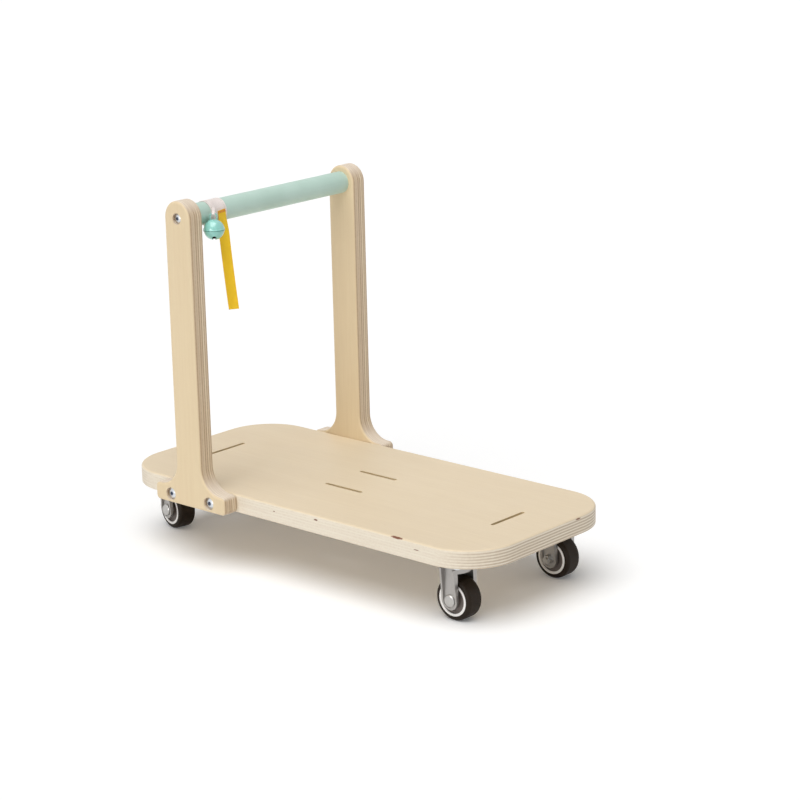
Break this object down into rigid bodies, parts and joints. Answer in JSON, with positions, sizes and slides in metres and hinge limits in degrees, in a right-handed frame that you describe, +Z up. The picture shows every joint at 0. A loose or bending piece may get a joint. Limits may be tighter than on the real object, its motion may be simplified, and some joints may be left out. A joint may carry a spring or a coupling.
{
  "type": "push trolley",
  "caption": "Flat plywood toy trolley on swivel casters, with a mint push bar between two uprights, a jingle bell and a ribbon.",
  "frame": {"origin": "on the floor below the middle of the deck", "axes": "+X along the deck towards its open end, away from the handle; +Z up; +Y to the left hand of someone who pushes at the bar"},
  "size_m": [0.47, 0.246, 0.3635],
  "materials": {
    "birch_plywood": "clear matt lacquer on birch plywood, ply lines on the edges",
    "mint_paint": "satin mint paint on a turned wooden bar",
    "zinc_bolts": "bright zinc plating",
    "brass_inserts": "plain brass",
    "cotton_cuff": "woven cotton, off white",
    "pellet_steel": "nickel plated",
    "mint_enamel": "glossy mint enamel",
    "yellow_ribbon": "woven ribbon, warm yellow",
    "zinc_stampings": "zinc plated sheet steel",
    "zinc_hardware": "zinc plated steel",
    "bearing_steel": "ground steel",
    "hub_plastic": "moulded dark grey plastic",
    "tyre_rubber": "smooth brown-black rubber",
    "trim_plastic": "pale smooth plastic"
  },
  "bodies": {
    "trolley": {"deck": "birch_plywood", "upright_left": "birch_plywood", "upright_right": "birch_plywood", "handle_bar": "mint_paint", "foot_bolts": "zinc_bolts", "foot_inserts": "brass_inserts", "handle_bolts": "zinc_bolts", "handle_inserts": "brass_inserts", "plate_screws": "zinc_bolts", "cuff": "cotton_cuff", "ribbon": "yellow_ribbon", "front_left_plate": "zinc_stampings", "front_left_balls": "bearing_steel", "front_left_kingpin": "zinc_hardware", "front_right_plate": "zinc_stampings", "front_right_balls": "bearing_steel", "front_right_kingpin": "zinc_hardware", "rear_left_plate": "zinc_stampings", "rear_left_balls": "bearing_steel", "rear_left_kingpin": "zinc_hardware", "rear_right_plate": "zinc_stampings", "rear_right_balls": "bearing_steel", "rear_right_kingpin": "zinc_hardware"},
    "front_left_caster": {"front_left_fork": "zinc_stampings", "front_left_axle_bolt": "zinc_hardware", "front_left_axle_nut": "zinc_hardware", "front_left_bush": "bearing_steel"},
    "front_left_wheel": {"front_left_hub": "hub_plastic", "front_left_tyre": "tyre_rubber", "front_left_trim_rings": "trim_plastic"},
    "front_right_caster": {"front_right_fork": "zinc_stampings", "front_right_axle_bolt": "zinc_hardware", "front_right_axle_nut": "zinc_hardware", "front_right_bush": "bearing_steel"},
    "front_right_wheel": {"front_right_hub": "hub_plastic", "front_right_tyre": "tyre_rubber", "front_right_trim_rings": "trim_plastic"},
    "rear_left_caster": {"rear_left_fork": "zinc_stampings", "rear_left_axle_bolt": "zinc_hardware", "rear_left_axle_nut": "zinc_hardware", "rear_left_bush": "bearing_steel"},
    "rear_left_wheel": {"rear_left_hub": "hub_plastic", "rear_left_tyre": "tyre_rubber", "rear_left_trim_rings": "trim_plastic"},
    "rear_right_caster": {"rear_right_fork": "zinc_stampings", "rear_right_axle_bolt": "zinc_hardware", "rear_right_axle_nut": "zinc_hardware", "rear_right_bush": "bearing_steel"},
    "rear_right_wheel": {"rear_right_hub": "hub_plastic", "rear_right_tyre": "tyre_rubber", "rear_right_trim_rings": "trim_plastic"},
    "bell": {"bell_ring": "mint_enamel", "bell_top": "mint_enamel", "bell_bottom": "mint_enamel", "bell_pellet": "pellet_steel"}
  },
  "joints": [
    {"name": "front_left_swivel", "type": "hinge", "parent": "trolley", "child": "front_left_caster", "pos_m": [0.183, 0.073, 0.0529], "axis": [0, 0, 1], "continuous": true},
    {"name": "front_left_roll", "type": "hinge", "parent": "front_left_caster", "child": "front_left_wheel", "pos_m": [0.187, 0.073, 0.0205], "axis": [0, 1, 0], "continuous": true},
    {"name": "front_right_swivel", "type": "hinge", "parent": "trolley", "child": "front_right_caster", "pos_m": [0.183, -0.073, 0.0529], "axis": [0, 0, 1], "continuous": true},
    {"name": "front_right_roll", "type": "hinge", "parent": "front_right_caster", "child": "front_right_wheel", "pos_m": [0.187, -0.073, 0.0205], "axis": [0, 1, 0], "continuous": true},
    {"name": "rear_left_swivel", "type": "hinge", "parent": "trolley", "child": "rear_left_caster", "pos_m": [-0.2095, 0.0495, 0.0529], "axis": [0, 0, 1], "continuous": true},
    {"name": "rear_left_roll", "type": "hinge", "parent": "rear_left_caster", "child": "rear_left_wheel", "pos_m": [-0.21345, 0.04887, 0.0205], "axis": [0.1564, -0.9877, 0], "continuous": true},
    {"name": "rear_right_swivel", "type": "hinge", "parent": "trolley", "child": "rear_right_caster", "pos_m": [-0.2095, -0.0495, 0.0529], "axis": [0, 0, 1], "continuous": true},
    {"name": "rear_right_roll", "type": "hinge", "parent": "rear_right_caster", "child": "rear_right_wheel", "pos_m": [-0.21341, -0.04867, 0.0205], "axis": [-0.2079, -0.9781, 0], "continuous": true},
    {"name": "bell_swing", "type": "hinge", "parent": "trolley", "child": "bell", "pos_m": [-0.09743, -0.09135, 0.3483], "axis": [-0.7071, -0.7071, 0], "range_deg": [0, 50]}
  ]
}
